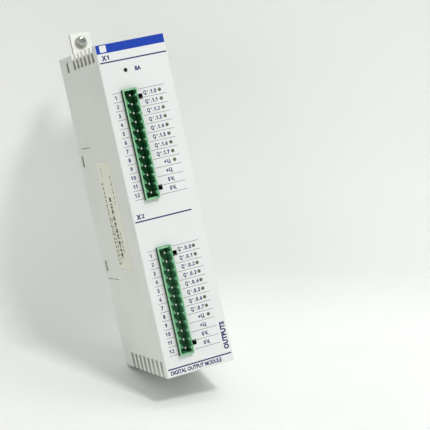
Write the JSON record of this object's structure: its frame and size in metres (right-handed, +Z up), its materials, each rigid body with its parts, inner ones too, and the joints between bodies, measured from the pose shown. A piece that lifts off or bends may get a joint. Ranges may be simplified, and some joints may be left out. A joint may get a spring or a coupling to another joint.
{
  "type": "rack output module",
  "caption": "Slim upright output module for a controller rack: vented two-part case, printed front foil, two green pluggable connectors, lamp windows, rear bracket with captive screw.",
  "frame": {"origin": "centre of the flat rear face of the raised rear block, which is at mid width and mid height of the case", "axes": "+Y points rearwards into the rack, square to that face; +Z points up along the module's length; +X points right as seen from the printed front"},
  "size_m": [0.0418, 0.0889, 0.2066],
  "materials": {
    "case_plastic": "fine matt moulded texture, light warm grey",
    "front_foil": "printed polyester foil, satin, near white",
    "type_label": "cream self-adhesive label",
    "bracket_steel": "smooth light coating",
    "screw_steel": "bright plated steel",
    "connector_green": "moulded polyamide, mid green",
    "black_plastic": "matt black",
    "lamp_plastic": "unlit tinted light guide, olive brown",
    "status_lamp": "unlit dark green lamp",
    "pin_metal": "tinned contact pin",
    "board_laminate": "green solder resist",
    "connector_grey": "moulded grey",
    "chip_plastic": "moulded epoxy package",
    "can_aluminium": "drawn can",
    "choke_ferrite": "ferrite core",
    "fuse_ceramic": "ceramic body with capped ends"
  },
  "bodies": {
    "case": {"housing_shell": "case_plastic", "rear_cover": "case_plastic", "front_foil": "front_foil", "type_label": "type_label", "mounting_bracket": "bracket_steel", "bracket_screw_1": "screw_steel", "bracket_screw_2": "screw_steel", "header_x1": "connector_green", "header_x2": "connector_green", "light_guide_x1": "lamp_plastic", "light_guide_x2": "lamp_plastic", "status_lamp": "status_lamp", "key_socket_x1_upper": "black_plastic", "key_socket_x1_lower": "black_plastic", "key_socket_x2_upper": "black_plastic", "key_socket_x2_lower": "black_plastic", "main_board": "board_laminate", "logic_board": "board_laminate", "board_link": "black_plastic", "backplane_connector": "connector_grey", "output_driver_1": "chip_plastic", "output_driver_2": "chip_plastic", "output_driver_3": "chip_plastic", "output_driver_4": "chip_plastic", "optocoupler_x1": "chip_plastic", "optocoupler_x2": "chip_plastic", "bus_controller": "chip_plastic", "clock_crystal": "can_aluminium", "buffer_capacitor_1": "can_aluminium", "buffer_capacitor_2": "can_aluminium", "supply_choke": "choke_ferrite", "fuse_x1": "fuse_ceramic", "fuse_x2": "fuse_ceramic", "x1_pin_1": "pin_metal", "x1_pin_2": "pin_metal", "x1_pin_3": "pin_metal", "x1_pin_4": "pin_metal", "x1_pin_5": "pin_metal", "x1_pin_6": "pin_metal", "x1_pin_7": "pin_metal", "x1_pin_8": "pin_metal", "x1_pin_9": "pin_metal", "x1_pin_10": "pin_metal", "x1_pin_11": "pin_metal", "x1_pin_12": "pin_metal", "x2_pin_1": "pin_metal", "x2_pin_2": "pin_metal", "x2_pin_3": "pin_metal", "x2_pin_4": "pin_metal", "x2_pin_5": "pin_metal", "x2_pin_6": "pin_metal", "x2_pin_7": "pin_metal", "x2_pin_8": "pin_metal", "x2_pin_9": "pin_metal", "x2_pin_10": "pin_metal", "x2_pin_11": "pin_metal", "x2_pin_12": "pin_metal"},
    "washer": {"screw_washer": "screw_steel"},
    "screw": {"captive_screw": "screw_steel"}
  },
  "joints": [
    {"name": "screw_slide", "type": "slide", "parent": "case", "child": "washer", "axis": [0, -1, 0], "range_m": [0, 0.003]},
    {"name": "screw_turn", "type": "hinge", "parent": "washer", "child": "screw", "pos_m": [-0.0051, -0.0057, 0.1052], "axis": [0, 1, 0], "continuous": true}
  ]
}
